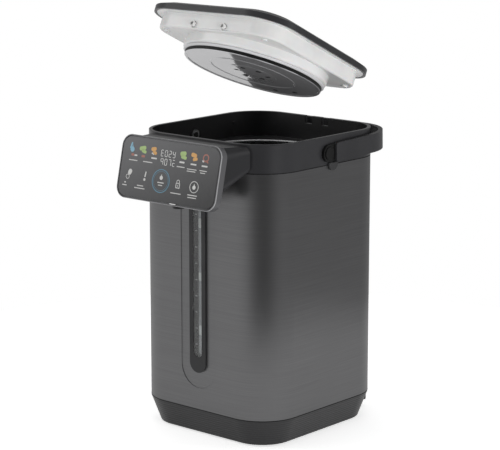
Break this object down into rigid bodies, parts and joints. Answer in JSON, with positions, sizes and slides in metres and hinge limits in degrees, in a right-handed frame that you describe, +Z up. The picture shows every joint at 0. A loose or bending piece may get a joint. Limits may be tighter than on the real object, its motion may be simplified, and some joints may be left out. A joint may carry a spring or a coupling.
{
  "type": "electric thermo pot",
  "caption": "Square-shouldered electric hot water pot with a lift-off lid, folding bail handle, tilted touch panel over a spout, and an upright water gauge on the front.",
  "frame": {"origin": "on the pot's upright axis, on the surface it stands on", "axes": "+Z up, -Y towards the control panel and gauge, +Y towards the lid hinge, +X the user's right when facing the panel"},
  "size_m": [0.208, 0.2765, 0.4713],
  "materials": {
    "painted_steel": "brushed anthracite lacquer, satin",
    "black_plastic": "moulded, fine satin",
    "handle_plastic": "moulded, satin",
    "cover_plastic": "moulded, satin dark grey",
    "white_plastic": "moulded, light gloss",
    "steel": "polished stainless",
    "panel_glass": "smoked gloss panel with lit marks",
    "clear": "clear",
    "silicone": "translucent silicone",
    "foot_rubber": "matt",
    "felt": "felt wrap",
    "board": "circuit board",
    "pump_plastic": "moulded",
    "brass": "plain"
  },
  "bodies": {
    "root": {"outer_shell": "painted_steel", "base_housing": "black_plastic", "bottom_cover": "black_plastic", "foot_ring": "foot_rubber", "bottom_screws": "steel", "inner_container": "steel", "insulation_wrap": "felt", "heater_plate": "steel", "thermostat": "brass", "thermal_fuse": "brass", "top_collar": "black_plastic", "latch_keeper": "black_plastic", "spout_head": "black_plastic", "panel_frame": "black_plastic", "panel_glass": "panel_glass", "display_board": "board", "spout_nozzle": "black_plastic", "spout_hose": "silicone", "gauge_bezel": "black_plastic", "gauge_window": "clear", "gauge_tube": "clear", "delivery_hose": "silicone", "suction_sleeve": "silicone", "pump_housing": "pump_plastic", "pump_motor": "steel", "power_board": "board", "power_inlet": "black_plastic", "inlet_pins": "brass", "handle_lugs": "black_plastic"},
    "hinge_carrier": {"hinge_axle": "steel", "hinge_hooks": "black_plastic"},
    "lid": {"lid_cover": "cover_plastic", "lid_tub": "white_plastic", "lid_seal": "silicone", "lid_disc": "steel", "steam_valve": "white_plastic", "lid_screws": "steel"},
    "latch": {"latch_pegs": "white_plastic", "latch_spring": "steel"},
    "button": {"release_button": "black_plastic"},
    "handle": {"bail_handle": "handle_plastic", "handle_pins": "black_plastic", "handle_clips": "steel"},
    "rotor": {"pump_impeller": "pump_plastic", "pump_shaft": "steel"}
  },
  "joints": [
    {"name": "lid_lift", "type": "slide", "parent": "root", "child": "hinge_carrier", "axis": [0, -0.1184, 0.993], "range_m": [-0.0513, 0]},
    {"name": "lid_tilt", "type": "hinge", "parent": "hinge_carrier", "child": "lid", "pos_m": [0, 0.08793, 0.38724], "axis": [1, 0, 0], "range_deg": [-55, 24.9]},
    {"name": "button_press", "type": "slide", "parent": "lid", "child": "button", "axis": [0, -0.421, -0.907], "range_m": [0, 0.0025], "stiffness_N_per_m": 400, "springref_m": -0.001},
    {"name": "latch_slide", "type": "slide", "parent": "lid", "child": "latch", "axis": [0, 0.907, -0.421], "range_m": [0, 0.004]},
    {"name": "handle_swing", "type": "hinge", "parent": "root", "child": "handle", "pos_m": [0, -0.004, 0.314], "axis": [1, 0, 0], "range_deg": [0, 22]},
    {"name": "pump_spin", "type": "hinge", "parent": "root", "child": "rotor", "pos_m": [0, -0.042, 0.0385], "axis": [0, 0, 1], "continuous": true}
  ],
  "couplings": [
    {"joint": "latch_slide", "follows": "button_press", "ratio": 1.6}
  ]
}
